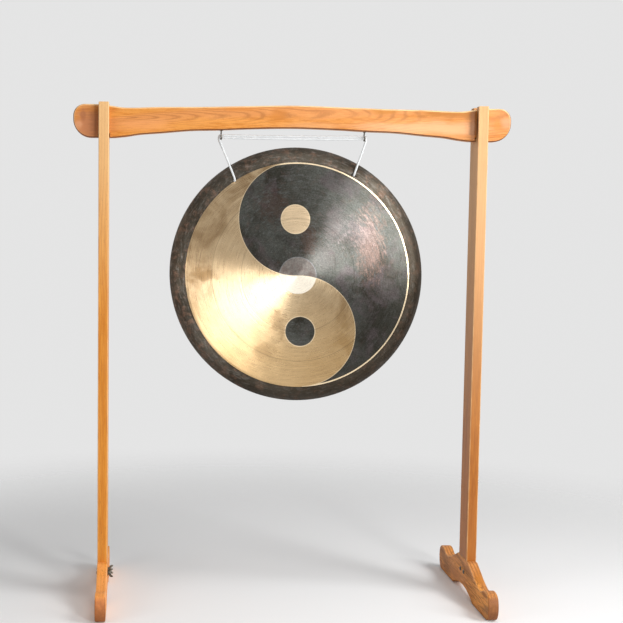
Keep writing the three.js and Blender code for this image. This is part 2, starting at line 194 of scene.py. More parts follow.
def joinRings(shell, rings, closed=False, slotAt=None):
    # faces between neighbouring rings and on open ends; a ring of one point is a tip
    count = max(len(ring) for ring in rings)
    pairs = list(zip(rings, rings[1:]))
    if closed:
        pairs.append((rings[-1], rings[0]))
    for index, (first, second) in enumerate(pairs):
        for side in range(count):
            corners = []
            for ring, at in ((first, side), (first, side + 1), (second, side + 1), (second, side)):
                corner = ring[at % count % len(ring)]
                if corner not in corners:
                    corners.append(corner)
            face = shell.faces.new(corners)
            if slotAt:
                face.material_index = slotAt(index)
    for ring in () if closed else (rings[0][::-1], rings[-1]):
        if len(ring) > 1:
            shell.faces.new(ring)


def tubeInto(shell, line, radiusAt, sides, closed=False):
    # rings square to the line, carried along it without twist
    rings = []
    count = len(line)
    across = None
    for index, point in enumerate(line):
        before = line[index - 1] if index or closed else point
        after = line[(index + 1) % count] if index < count - 1 or closed else point
        along = (after - before).normalized()
        if across is None:
            across = along.orthogonal().normalized()
        across = (across - along * across.dot(along)).normalized()
        other = along.cross(across)
        rings.append([
            shell.verts.new(point + (across * cos(angle) + other * sin(angle)) * radiusAt(index, angle))
            for angle in spaced(0, tau, sides)[:-1]
        ])
    joinRings(shell, rings, closed)


def latheInto(shell, profile, sides, closed=False, slotAt=None):
    # profile is (radius, height) about the local Z axis
    rings = []
    for radius, height in profile:
        angles = [0] if radius < 1e-7 else spaced(0, tau, sides)[:-1]
        rings.append([shell.verts.new((radius * cos(a), radius * sin(a), height)) for a in angles])
    joinRings(shell, rings, closed, slotAt)


def drillMesh(radius, low, high, sides):
    return meshFrom("drill", latheInto, [(0, low), (radius, low), (radius, high), (0, high)], sides)


def sideways(start, end):
    # unit vector to the left of the way from start to end
    along = Vector((end[0] - start[0], end[1] - start[1])).normalized()
    return Vector((-along.y, along.x))


def insetLine(outline, inset):
    # closed outline moved inwards by mitred corners
    nexts = outline[1:] + outline[:1]
    turn = 1 if sum(a[0] * b[1] - b[0] * a[1] for a, b in zip(outline, nexts)) > 0 else -1
    line = []
    for before, here, after in zip(outline[-1:] + outline[:-1], outline, nexts):
        first, second = sideways(before, here) * turn, sideways(here, after) * turn
        move = (first + second) * inset / max(0.4, 1 + first.dot(second))
        line.append((here[0] + move.x, here[1] + move.y))
    return line


def plankInto(shell, outline, thickness, arris, steps=4):
    # outline lies in local X and Y; the plank is centred on local Z, with rounded arrises
    rings = []
    angles = spaced(0, pi / 2, steps)
    for side, turns in ((-1, angles), (1, angles[::-1])):
        for angle in turns:
            height = side * (thickness / 2 - arris * (1 - cos(angle)))
            flat = insetLine(outline, arris * (1 - sin(angle)))
            rings.append([shell.verts.new((x, y, height)) for x, y in flat])
    joinRings(shell, rings)


def combine(base, others, operation):
    # boolean of finished closed meshes, in their own shared coordinates
    target = newObject("target", base)
    tools = [newObject("tool", other) for other in others]
    for tool in tools:
        modifier = target.modifiers.new("cut", "BOOLEAN")
        modifier.operation = operation
        modifier.solver = "MANIFOLD"
        modifier.object = tool
    bpy.context.view_layer.update()
    result = bpy.data.meshes.new_from_object(target.evaluated_get(bpy.context.evaluated_depsgraph_get()))
    for one in [target, *tools]:
        bpy.data.objects.remove(one)
    while result.materials and result.materials[-1] is None:
        result.materials.pop()
    return result


# Node helpers; colours are given as red, green and blue on the screen, 0 to 255

def linear(red, green, blue):
    def one(value):
        value /= 255
        return value / 12.92 if value <= 0.04045 else ((value + 0.055) / 1.055) ** 2.4
    return (one(red), one(green), one(blue), 1)


def feed(node, inputs):
    for name, value in inputs.items():
        socket = node.inputs[name]
        if isinstance(value, bpy.types.NodeSocket):
            node.id_data.links.new(value, socket)
        elif socket.type == "RGBA" and len(value) == 3:
            socket.default_value = linear(*value)
        else:
            socket.default_value = value


def addNode(tree, kind, inputs=None, **settings):
    node = tree.nodes.new("ShaderNode" + kind)
    for name, value in settings.items():
        setattr(node, name, value)
    feed(node, inputs or {})
    return node


def outputsOf(kind, inputs, **settings):
    # outputs of a new node, in the tree of the sockets that feed it
    tree = next(value.id_data for value in inputs.values() if isinstance(value, bpy.types.NodeSocket))
    return addNode(tree, kind, inputs, **settings).outputs


def outputOf(kind, inputs, output=0, **settings):
    return outputsOf(kind, inputs, **settings)[output]


def calc(operation, *values, clamp=False):
    return outputOf("Math", dict(enumerate(values)), operation=operation, use_clamp=clamp)


def times(first, second, clamp=False):
    return calc("MULTIPLY", first, second, clamp=clamp)


def plus(first, second):
    return calc("ADD", first, second)


def minus(first, second, clamp=False):
    return calc("SUBTRACT", first, second, clamp=clamp)


def invert(value, clamp=False):
    return minus(1, value, clamp)


def larger(first, second):
    return calc("MAXIMUM", first, second)


def fade(value, start, end):
    # 0 below start and 1 above end, smooth between
    return outputOf("MapRange", {0: value, 1: start, 2: end}, interpolation_type="SMOOTHSTEP")


def spread(value, start, end, low, high):
    return outputOf("MapRange", {0: value, 1: start, 2: end, 3: low, 4: high})


def mix(share, first, second):
    inputs = {0: share, 6: first, 7: second}
    return outputOf("Mix", inputs, 2, data_type="RGBA", clamp_factor=True)


def mixValues(share, first, second):
    return outputOf("Mix", {0: share, 2: first, 3: second})


def vectorMath(operation, *values):
    output = "Value" if operation in ("LENGTH", "DISTANCE") else "Vector"
    return outputOf("VectorMath", dict(enumerate(values)), output, operation=operation)


def scaled(vector, factors):
    return vectorMath("MULTIPLY", vector, factors)


def joined(x, y, z):
    return outputOf("CombineXYZ", {"X": x, "Y": y, "Z": z})


def axesOf(vector):
    return outputsOf("SeparateXYZ", {0: vector})[:]


def noiseAt(vector, scale, detail=3, roughness=0.5, distortion=0):
    return outputOf("TexNoise", {
        "Vector": vector, "Scale": scale, "Detail": detail, "Roughness": roughness, "Distortion": distortion,
    }, "Fac")


def patchAt(vector, centre, half, ragged, roughEdge):
    # 1 in a soft-edged patch, 0 outside it
    away = scaled(vectorMath("SUBTRACT", vector, centre), [1 / one if one else 0 for one in half])
    reach = plus(vectorMath("LENGTH", away), times(minus(ragged, 0.5), roughEdge))
    return invert(fade(reach, 0.3, 1.3), clamp=True)


def bumpFrom(height, strength, distance):
    return outputOf("Bump", {"Height": height, "Strength": strength, "Distance": distance}, "Normal")


def brightened(colour, value):
    return outputOf("HueSaturation", {"Color": colour, "Value": value})


def layered(colour, tones, layers):
    # each (mask, tone) laid over the colour in turn; a tone is its name in tones or the tone itself
    for mask, tone in layers:
        colour = mix(mask, colour, tones.get(tone, tone))
    return colour


def patched(vector, ragged, rows, roughEdge):
    # the layers of (centre, half size, tone, share) rows
    return [
        (times(patchAt(vector, centre, half, ragged, roughEdge), share), tone)
        for centre, half, tone, share in rows
    ]


def newMaterial(name):
    # with its shader and its texture coordinates
    material = bpy.data.materials.new(name)
    material.use_nodes = True
    tree = material.node_tree
    return material, tree.nodes["Principled BSDF"], addNode(tree, "TexCoord").outputs


def newGroup(name, inputs, outputs):
    tree = bpy.data.node_groups.new(name, "ShaderNodeTree")
    for direction, sockets in (("INPUT", inputs), ("OUTPUT", outputs)):
        for socketName, kind in sockets.items():
            tree.interface.new_socket(socketName, in_out=direction, socket_type="NodeSocket" + kind)
    return tree, tree.nodes.new("NodeGroupInput").outputs, tree.nodes.new("NodeGroupOutput")


# Cord: one length, knotted behind the right hole and laid twice round both hooks
cord = {
    "diameter": 0.0065,
    "strands": 8,
    "cell": 0.0052,           # of the braid, along the cord
    "relief": 0.055,          # share of the radius
    "routeSteps": 12,
    "knotRadius": 0.0075,
    "knotDepth": 0.0116,      # behind the gong's face
    "knotStrand": 0.42,       # share of the knot's radius
    "knotThick": 1.6, "knotRelief": 0.06, "knotSteps": 72, "knotSides": 14,
    "smoothAngle": 75,
    "colour": (234, 236, 236), "shade": (196, 199, 201),
}
cordRoute = [                 # (x, y, height over the hooks' bowls)
    # out of the right hole, up in front of the gong and over the right hook
    (0.1934, -0.0018, -0.1086), (0.1934, -0.0052, -0.1085), (0.1937, -0.0088, -0.1069),
    (0.1946, -0.0104, -0.103), (0.198, -0.0096, -0.0935), (0.21, -0.0062, -0.0595),
    (0.222, -0.0025, -0.0257), (0.2276, -0.0008, -0.0099), (0.23042, 0, -0.00193),
    (0.23055, 0, 0.00149), (0.2287, 0, 0.0044), (0.225, 0, 0.00575),
    # straight across, over the left hook and down to the left hole
    (0.212, 0, 0.0055), (0.16, 0, 0.0044), (0.08, 0, 0.0035), (0, 0, 0.0032),
    (-0.08, 0, 0.0035), (-0.16, 0, 0.0044), (-0.212, 0, 0.0055), (-0.225, 0, 0.00575),
    (-0.2287, 0, 0.0044), (-0.23055, 0, 0.00149), (-0.23032, 0, -0.00217),
    (-0.2269, -0.0008, -0.0105), (-0.2198, -0.0025, -0.028), (-0.2039, -0.0063, -0.0671),
    (-0.187, -0.0096, -0.1085), (-0.1823, -0.0104, -0.1211), (-0.1815, -0.0088, -0.1251),
    # through the hole, up behind the gong and round the left hook behind the first turn
    (-0.1813, -0.0052, -0.1268), (-0.1813, -0.0018, -0.1269), (-0.1815, 0.002, -0.1265),
    (-0.1822, 0.008, -0.1241), (-0.1845, 0.025, -0.1077), (-0.1865, 0.0425, -0.0914),
    (-0.1873, 0.0496, -0.0882), (-0.1893, 0.051, -0.0839), (-0.1916, 0.0485, -0.0795),
    (-0.2107, 0.029, -0.0418), (-0.225, 0.0145, -0.0155), (-0.2303, 0.0093, -0.0052),
    (-0.2318, 0.0072, 0.0002), (-0.2318, 0.0062, 0.005), (-0.2312, 0.0034, 0.0098),
    (-0.2287, 0.0008, 0.012), (-0.225, 0, 0.01255),
    # back across, above the first stretch, and round the right hook
    (-0.212, 0, 0.0125), (-0.16, 0, 0.0119), (-0.08, 0, 0.0113), (0, 0, 0.0111),
    (0.08, 0, 0.0113), (0.16, 0, 0.0119), (0.212, 0, 0.0125), (0.225, 0, 0.01255),
    (0.2287, 0.0008, 0.012), (0.2312, 0.0034, 0.0098), (0.2318, 0.0062, 0.005),
    (0.2318, 0.0072, 0.0002), (0.2308, 0.0092, -0.0052),
    # down behind the gong to the knot
    (0.2285, 0.0145, -0.0155), (0.2233, 0.0295, -0.0405), (0.215, 0.0485, -0.0688),
    (0.2131, 0.051, -0.0733), (0.2112, 0.0496, -0.0775), (0.2098, 0.0425, -0.0804),
    (0.2018, 0.024, -0.095), (0.1954, 0.0118, -0.1038),
]

gongPlace = {
    "centreX": 0.021,
    "faceY": -0.0056,
    "radius": 0.403,
    "hang": 0.0205,           # rim below the hooks' bowls
    "tilt": 2.8,
    "bandWidth": 0.0485,
    "holeOutset": 0.0045,     # beyond the face, in the band
    "holeAngle": 31.5,
}


def gongFrame(g):
    # local X to the right, Y up and Z towards the player, about the middle of the dish
    centre = (g["centreX"], g["faceY"], shared["bowlHeight"] - g["hang"] - g["radius"])
    return Matrix.Translation(centre) @ spun(-g["tilt"], "Y") @ frontward


def gongHole(g, side, depth):
    reach = g["radius"] - g["bandWidth"] + g["holeOutset"]
    angle = radians(g["holeAngle"])
    return Vector((side * reach * sin(angle), reach * cos(angle), -depth))


def cordMaterial(c):
    material, shader, where = newMaterial("whiteBraid")
    fibres = noiseAt(where["Object"], 2600, 2)
    feed(shader, {
        "Base Color": mix(noiseAt(where["Object"], 60, 4), c["colour"], c["shade"]),
        "Roughness": spread(fibres, 0, 1, 0.62, 0.85),
        "Sheen Weight": 0.3,
        "Sheen Roughness": 0.5,
        "Normal": bumpFrom(fibres, 0.35, 0.0003),
    })
    return material


def makeCord(c):
    white = cordMaterial(c)
    height = Vector((0, 0, shared["bowlHeight"]))
    line, length = evenLine([p + height for p in smoothLine(cordRoute, c["routeSteps"])], c["cell"] / 4)
    spacing = length / (len(line) - 1)

    def braid(index, angle):
        turn = index * spacing / c["cell"] * pi
        twist = c["strands"] / 2 * angle
        over = max(abs(cos(twist + turn)), abs(cos(twist - turn)))
        return c["diameter"] / 2 * (1 - c["relief"] + c["relief"] * over)

    mesh = meshFrom("braidedCord", tubeInto, line, braid, c["strands"] * 2, smoothAngle=c["smoothAngle"])
    addPiece("braidedCord", mesh, [white], "gong", "hanging_cord")

    # three-lobed overhand form, pulled tight into a ball
    centre = gongFrame(gongPlace) @ gongHole(gongPlace, 1, c["knotDepth"])
    strand = c["knotRadius"] * c["knotStrand"]
    size = (c["knotRadius"] - strand) / 3
    loop = []
    for t in spaced(0, tau, c["knotSteps"])[:-1]:
        x = sin(t) + 2 * sin(2 * t)
        z = cos(t) - 2 * cos(2 * t)
        loop.append(centre + Vector((x, -sin(3 * t) * c["knotThick"], z)) * size)

    def lobed(index, angle):
        return strand * (1 - c["knotRelief"] + c["knotRelief"] * cos(6 * angle + index))

    mesh = meshFrom(
        "cordKnot", tubeInto, loop, lobed, c["knotSides"], closed=True, smoothAngle=c["smoothAngle"],
    )
    addPiece("cordKnot", mesh, [white], "gong", "cord_knot")
    print("cord made, length", round(length, 3))


makeCord(cord)


# Wood: grain runs along the X of the coordinates that come in
def makeWoodGroup():
    amounts = ("Ring Scale", "Ring Strength", "Fleck Strength", "Fibre Strength", "Wander")
    tree, given, end = newGroup("woodGrain", {
        "Vector": "Vector", **dict.fromkeys(("Pale", "Deep", "Blush", "Line"), "Color"),
        **dict.fromkeys(amounts, "Float"),
    }, {"Color": "Color", "Roughness": "Float", "Height": "Float"})
    vector = given["Vector"]

    def drawnOut(along, across, detail=2, roughness=0.5, scale=1):
        return noiseAt(scaled(vector, (along, across, across)), scale, detail, roughness)

    # yearly rings, cut along into arches, bent by a slow wander of the log
    sway = times(spread(drawnOut(2, 9), 0, 1, -1, 1), given["Wander"])
    rings = outputOf("TexWave", {
        "Vector": vectorMath("ADD", vector, joined(0, sway, times(sway, -1))),
        "Scale": given["Ring Scale"], "Distortion": 0.9, "Detail": 2, "Detail Scale": 2,
    }, "Fac", wave_type="RINGS", rings_direction="X", wave_profile="SIN")
    late = times(calc("POWER", rings, 3), fade(drawnOut(3, 22), 0.36, 0.62))
    # broad stripes, fine fibres, open pores and a few dark flecks
    broad = drawnOut(3.2, 38, 3)
    rosy = fade(drawnOut(1.7, 17, scale=1.3), 0.44, 0.62)
    fibre = drawnOut(14, 360, 4, 0.62)
    pores = fade(drawnOut(150, 2600, 2, 0.4), 0.6, 0.72)
    fleck = fade(drawnOut(62, 330, 1), 0.66, 0.76)
    tone = plus(broad, times(minus(fibre, 0.5), given["Fibre Strength"]))
    ground = mix(fade(tone, 0.3, 0.7), given["Pale"], given["Deep"])
    ground = mix(times(rosy, 0.6), ground, given["Blush"])
    lined = mix(times(late, given["Ring Strength"], clamp=True), ground, given["Line"])
    dark = larger(times(pores, 0.35), times(fleck, given["Fleck Strength"]))
    relief = minus(times(fibre, 0.5), times(pores, 0.8))
    feed(end, {
        "Color": mix(dark, lined, given["Line"]),
        "Roughness": spread(plus(fibre, pores), 0.2, 1.6, 0.46, 0.7),
        "Height": minus(relief, times(late, 0.2)),
    })
    return tree


woodGrain = makeWoodGroup()
woodTones = {
    "pale": (240, 178, 96), "deep": (220, 140, 52), "blush": (236, 168, 108), "line": (150, 88, 36),
    # a paler tone towards the top of the stand is painted light
    "litTop": (250, 212, 164), "litTopMost": 0.45,
    "litTopFrom": 0.9, "litTopTo": 1.6,       # heights where it starts and where it is full
    "litTopShares": {"pale": 1, "deep": 0.85, "blush": 1, "line": 0.55},
    "rings": 26, "ringStrength": 0.45, "flecks": 0.35, "fibres": 1.2, "wander": 0.02,
    "lacquer": 0.1, "shine": 0.3,
    "patches": [],            # (centre, half size, tone, share)
    "endMost": 0.6, "endTone": (190, 124, 78),
    # paler edges facing up are a painted highlight, darker edges facing down painted shade
    "edgeHighlight": 0.55, "edgeHighlightTone": (252, 216, 166),
    "edgeShade": 0.6, "edgeShadeTone": (120, 68, 34),
}


def woodMaterial(name, own):
    w = {**woodTones, **own}
    material, shader, where = newMaterial(name)
    place = where["Object"]
    # the log's middle line is set off from the plank and tipped a little, so the faces cut long arches
    inLog = outputOf("Mapping", {
        "Vector": place, "Location": w["offset"], "Rotation": [radians(angle) for angle in w["turn"]],
    }, vector_type="TEXTURE")
    # painted light: the stand is paler towards the top, where the light is stronger
    topLit = times(fade(axesOf(place)[2], w["litTopFrom"], w["litTopTo"]), w["litTopMost"])
    tones = {
        key.capitalize(): mix(times(topLit, share), w[key], w["litTop"])
        for key, share in w["litTopShares"].items()
    }
    grain = outputsOf("Group", {
        "Vector": inLog, **tones, "Ring Scale": w["rings"], "Ring Strength": w["ringStrength"],
        "Fleck Strength": w["flecks"], "Fibre Strength": w["fibres"], "Wander": w["wander"],
    }, node_tree=woodGrain)
    # darker end grain; a painted highlight on edges facing up, broken up by noise; painted shade on edges
    # facing down, and the same dark tone on the edges round the end grain
    facing = axesOf(where["Normal"])
    across, along = (calc("ABSOLUTE", facing[w[axis]]) for axis in ("thickAxis", "grainAxis"))
    edge = times(fade(across, 0.02, 0.2), invert(fade(across, 0.95, 0.998)))
    endEdge = fade(along, 0.3, 0.6)
    above = times(fade(facing[2], -0.4, 0.2), invert(endEdge))
    below = larger(fade(times(facing[2], -1), 0.15, 0.5), endEdge)
    brokenUp = spread(noiseAt(place, 22, 3, 0.6), 0.35, 0.6, 0.55, 1)
    ragged = noiseAt(scaled(inLog, (7, 60, 60)), 1, 3, 0.6)
    feed(shader, {
        "Base Color": layered(grain["Color"], w, [
            (times(fade(along, 0.45, 0.95), w["endMost"]), "endTone"),
            *patched(place, ragged, w["patches"], 1.6),
            (times(times(times(edge, above), brokenUp), w["edgeHighlight"]), "edgeHighlightTone"),
            (times(times(edge, below), w["edgeShade"]), "edgeShadeTone"),
        ]),
        "Roughness": grain["Roughness"],
        "Specular IOR Level": w["shine"],
        "Coat Weight": w["lacquer"],
        "Coat Roughness": 0.3,
        "Normal": bumpFrom(grain["Height"], 0.5, 0.0004),
    })
    return material


def addPlank(name, outline, sizes, wood, body, node, place):
    mesh = meshFrom(name, plankInto, outline, sizes["thickness"], sizes["arris"])
    mesh.transform(place)
    weightNormals(addPiece(name, mesh, [wood], body, node))


def addPair(kind, outline, sizes, looks):
    # a left and a right plank on edge; the outline's X runs to the rear and its Y up
    for side, word in ((-1, "left"), (1, "right")):
        name = word + kind.capitalize()
        wood = woodMaterial(name + "Wood", {**looks["both"], **looks[word]})
        place = Matrix.Translation((side * shared["postX"], 0, 0)) @ rightward
        addPlank(name, outline, sizes, wood, "frame", f"{word}_{kind}", place)


# Posts: fork above, shoulder below that meets the foot
post = {
    "thickness": 0.032,
    "depth": 0.09,
    "bottom": 0.1158,
    "arris": 0.003,
}
postWood = {
    "left": {
        "offset": (0.031, 0.052, 0.4), "turn": (0, -90.5, 0.3),
        "pale": (216, 142, 46), "deep": (194, 116, 22), "blush": (208, 134, 50), "flecks": 0.6,
        # paler towards the top: painted light
        "litTop": (238, 198, 142), "litTopFrom": 0.8, "litTopTo": 1.65, "litTopMost": 0.75,
    },
    "right": {
        "offset": (-0.044, 0.061, 0.9), "turn": (0, -89.6, -0.3),
        "pale": (172, 102, 24), "deep": (146, 80, 10), "blush": (168, 100, 32),
        # paler towards the top: painted light
        "litTop": (232, 180, 122), "litTopFrom": 0.3, "litTopTo": 1.6, "litTopMost": 0.85,
        # painted shade on the side of the front prong, in front of the bar
        "patches": [((0.574, -0.03, 1.5), (0.0015, 0.014, 0.054), (64, 34, 8), 0.95)],
    },
    "both": {"thickAxis": 0, "grainAxis": 2, "rings": 34, "ringStrength": 0.3},
}


def makePosts(p):
    slotHalf = shared["barThickness"] / 2 + shared["gap"]
    floor = shared["barTop"] - shared["barEndHeight"] + shared["notchDepth"] - shared["gap"]
    half = p["depth"] / 2
    top = shared["postTop"]
    rear = [(half, p["bottom"]), (half, top), (slotHalf, top), (slotHalf, floor)]
    addPair("post", rear + mirrored(rear), p, postWood)
    print("posts made")


makePosts(post)


# Feet: a scroll at each end, a low arch between two pads
foot = {
    "thickness": 0.032,
    "halfLength": 0.3,
    "shoulder": 0.1155, "topHalf": 0.061,
    "padInset": 0.03,
    "arris": 0.003,
    "archHalf": 0.12, "archHeight": 0.026,
    "notchInset": 0.1, "notchHeight": 0.068,
    "scrollTopInset": 0.041, "scrollTop": 0.083, "scrollBulge": 0.042,
    "archShares": [(0.45, 0), (0.8, 0.54)],
    "underShares": [(0.6, 0), (1, 0.4)],
    "outerShares": [(0, 0.72), (0.38, 1)],
    "innerShares": [(0.5, 0), (0.55, 0.98)],
    "slopeShares": [(0.24, -0.08), (0.78, 0.77)],
    "curveSteps": 16,
}
footWood = {
    "left": {
        "offset": (0.02, 0.5, 0.062), "turn": (0.6, 0, 90.8),
        "pale": (242, 162, 74), "deep": (222, 136, 42), "blush": (240, 160, 92), "line": (170, 100, 42),
        "endTone": (206, 128, 78),
        "patches": [
            ((-0.59, -0.3, 0.042), (0.06, 0.03, 0.052), (190, 118, 70), 0.65),
            # painted shade at the bottom of the front end, by the floor
            ((-0.59, -0.3, 0), (0.06, 0.08, 0.06), (120, 70, 38), 0.7),
        ],
    },
    "right": {
        "offset": (-0.03, 0.2, 0.055), "turn": (-1.5, 0, 87.8), "ringStrength": 0.5,
        "pale": (226, 152, 72), "deep": (152, 90, 34), "blush": (206, 138, 84), "line": (84, 48, 20),
        "endTone": (132, 84, 56),
        "patches": [
            # painted shade at the bottom of the front end, by the floor
            ((0.59, -0.3, 0), (0.06, 0.06, 0.05), (104, 62, 36), 0.6),
            ((0.596, -0.125, 0.08), (0.015, 0.06, 0.032), (190, 120, 50), 0.85),
        ],
    },
    "both": {
        "thickAxis": 0, "grainAxis": 1, "rings": 30, "wander": 0.012, "ringStrength": 0.35, "flecks": 0.85,
        # painted highlight on the upper edges, painted shade on the lower ones
        "fibres": 2, "lacquer": 0, "shine": 0.15, "endMost": 0.8, "edgeHighlight": 0.25, "edgeShade": 0.5,
    },
}


def footOutline(f):
    # half of the outline, from the middle of the arch over the rear scroll to the top, and its mirror
    half = [Vector((0, f["archHeight"]))]

    def bendTo(x, y, shares):
        start = half[-1]
        one, two = (Vector((start.x + (x - start.x) * a, start.y + (y - start.y) * b)) for a, b in shares)
        half.extend(bendLine(start, one, two, Vector((x, y)), f["curveSteps"]))

    bendTo(f["archHalf"], 0, f["archShares"])
    half.append(Vector((f["halfLength"] - f["padInset"], 0)))
    bendTo(f["halfLength"], f["scrollBulge"], f["underShares"])
    bendTo(f["halfLength"] - f["scrollTopInset"], f["scrollTop"], f["outerShares"])
    bendTo(f["halfLength"] - f["notchInset"], f["notchHeight"], f["innerShares"])
    bendTo(f["topHalf"], f["shoulder"], f["slopeShares"])
    rear = [tuple(p) for p in half]
    return rear + mirrored(rear[1:])


addPair("foot", footOutline(foot), foot, footWood)
print("feet made")


# Crossbar: waved plank with round ends, notched over the fork floors
bar = {
    "thickness": shared["barThickness"],
    "halfLength": 0.685,
    "arris": 0.0045,
    "topCorner": 0.036, "bottomCorner": 0.056,
    "waveSteps": 6, "cornerSteps": 14,
    "topShares": [            # of the half length, and of the ends' height from the top
        (0.895, -0.002), (0.835, -0.04), (0.78, -0.09), (0.735, -0.098),
        (0.62, -0.068), (0.42, -0.048), (0.24, -0.014), (0, 0.024),
    ],
    "bottomShares": [
        (0, 0.342), (0.2, 0.31), (0.34, 0.265), (0.47, 0.238),
        (0.6, 0.16), (0.7, 0.105), (0.755, 0.045), (0.81, 0.002),
    ],
}
barWood = {
    "offset": (-0.5, -0.01, 1.512), "turn": (0, -0.9, 3.6), "thickAxis": 1, "grainAxis": 0, "litTopMost": 0,
    "pale": (226, 150, 66), "deep": (198, 118, 30), "blush": (224, 152, 90), "line": (156, 90, 34),
    "rings": 72, "ringStrength": 0.5, "wander": 0.014,
    # painted highlight on the upper edges, painted shade on the lower ones
    "edgeHighlight": 0.75, "edgeHighlightTone": (250, 214, 160), "edgeShade": 0.85, "edgeShadeTone": (96, 52, 26),
    "patches": [
        ((0.478, 0, 1.538), (0.105, 0, 0.02), (176, 106, 12), 0.9),
        ((0.285, 0, 1.542), (0.045, 0, 0.016), (192, 120, 28), 0.75),
        ((-0.05, 0, 1.52), (0.03, 0, 0.024), (200, 120, 32), 0.6),
        ((-0.17, 0, 1.541), (0.07, 0, 0.007), (204, 122, 38), 0.55),
        ((0.4, 0, 1.49), (0.22, 0, 0.022), (238, 180, 132), 0.6),
        ((0.06, 0, 1.492), (0.12, 0, 0.014), (228, 166, 110), 0.45),
        ((-0.46, 0, 1.488), (0.09, 0, 0.018), (234, 158, 98), 0.5),
        # the next three rows are painted shadow: over the left end, and in bands beside the left and the
        # right post
        ((-0.64, 0, 1.49), (0.05, 0, 0.06), (190, 122, 84), 0.7),
        ((-0.616, 0, 1.5), (0.02, 0, 0.08), (112, 62, 28), 0.5),
        ((0.565, 0, 1.5), (0.012, 0, 0.08), (100, 52, 20), 0.6),
        ((0.672, 0, 1.508), (0.022, 0, 0.018), (226, 160, 122), 0.6),
        ((-0.655, 0, 1.517), (0.01, 0, 0.022), (158, 94, 58), 0.6),
        ((-0.668, 0, 1.49), (0.013, 0, 0.014), (226, 162, 118), 0.5),
        ((0.64, 0, 1.5), (0.01, 0, 0.03), (206, 132, 50), 0.5),
    ],
}


def barOutline(b):
    top = shared["barTop"]
    bottom = top - shared["barEndHeight"]

    def place(shares, base):
        return [(x * b["halfLength"], base + z * shared["barEndHeight"]) for x, z in shares]

    def corner(radius, z, start):
        x = b["halfLength"] - radius
        angles = spaced(start, start + pi / 2, b["cornerSteps"])
        return [(x + radius * cos(a), z + radius * sin(a)) for a in angles]

    upper = place(b["topShares"], top)
    lower = place(b["bottomShares"], bottom)
    topWave = smoothPairs(upper + mirrored(upper[:-1]), b["waveSteps"])
    bottomWave = smoothPairs(mirrored(lower[1:]) + lower, b["waveSteps"])
    rightEnd = corner(b["bottomCorner"], bottom + b["bottomCorner"], -pi / 2)
    rightEnd += corner(b["topCorner"], top - b["topCorner"], 0)
    notchHalf = post["thickness"] / 2 + shared["gap"]
    notchTop = bottom + shared["notchDepth"]
    notch = [(shared["postX"] + x, z) for x, z in (
        (-notchHalf, bottom), (-notchHalf, notchTop), (notchHalf, notchTop), (notchHalf, bottom),
    )]
    return rightEnd + topWave + mirrored(rightEnd) + mirrored(notch) + bottomWave + notch


def makeBar(b):
    wood = woodMaterial("barWood", barWood)
    addPlank("woodenCrossbar", barOutline(b), b, wood, "crossbar", "crossbar", frontward)
    print("crossbar made")


makeBar(bar)


# Gong metal: marks left by turning, as rings round the local Z axis, and clouds of tarnish
def makeTurnedGroup():
    kinds = dict.fromkeys(("Marks", "Strokes", "Clouds", "Mottle", "Tint", "Grit"), "Float")
    tree, given, end = newGroup("turnedMarks", {"Vector": "Vector", "Radius": "Float"}, kinds)
    vector, radius = given["Vector"], given["Radius"]
    x, y = axesOf(vectorMath("NORMALIZE", scaled(vector, (1, 1, 0))))[:2]
    short = joined(times(x, 6), times(y, 6), times(radius, 60))
    feed(end, {
        "Marks": noiseAt(joined(x, y, times(radius, 140)), 3.4, 4, 0.65),
        "Strokes": noiseAt(short, 2.6, 5, 0.6, 0.4),
        "Clouds": noiseAt(vector, 6.5, 4, 0.6, 0.6),
        "Mottle": noiseAt(vector, 42, 6, 0.68, 0.3),
        "Tint": noiseAt(vector, 11, 4, 0.6, 1),
        "Grit": noiseAt(vector, 260, 3, 0.7),
    })
    return tree


turnedMarks = makeTurnedGroup()

